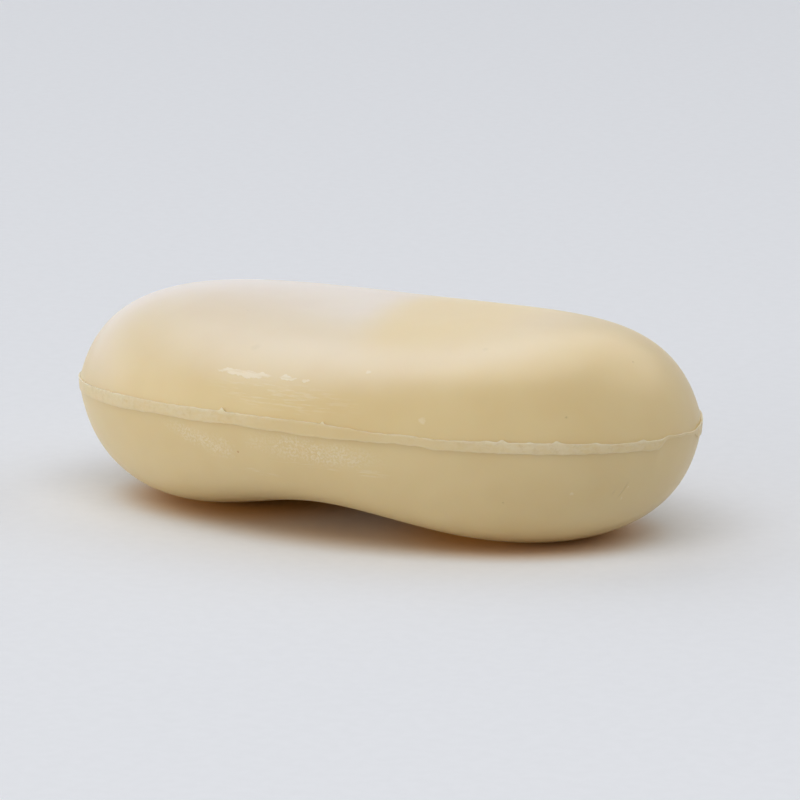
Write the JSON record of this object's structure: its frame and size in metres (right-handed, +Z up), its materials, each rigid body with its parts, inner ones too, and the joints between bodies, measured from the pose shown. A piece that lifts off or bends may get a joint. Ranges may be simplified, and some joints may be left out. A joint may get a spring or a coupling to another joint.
{
  "type": "bar of soap",
  "caption": "Oval bar of pressed toilet soap with a level crown, an arched underside and a trimmed parting land round its middle.",
  "frame": {"origin": "centre of the bar's footprint, on the plane of the two resting flats", "axes": "+X along the bar's length, +Y across its width, +Z up through the crown"},
  "size_m": [0.0956, 0.0582, 0.03],
  "materials": {
    "soap": "satin, smooth pressed soap with a scuffed bloom"
  },
  "bodies": {
    "root": {"soap_bar": "soap"}
  },
  "joints": []
}
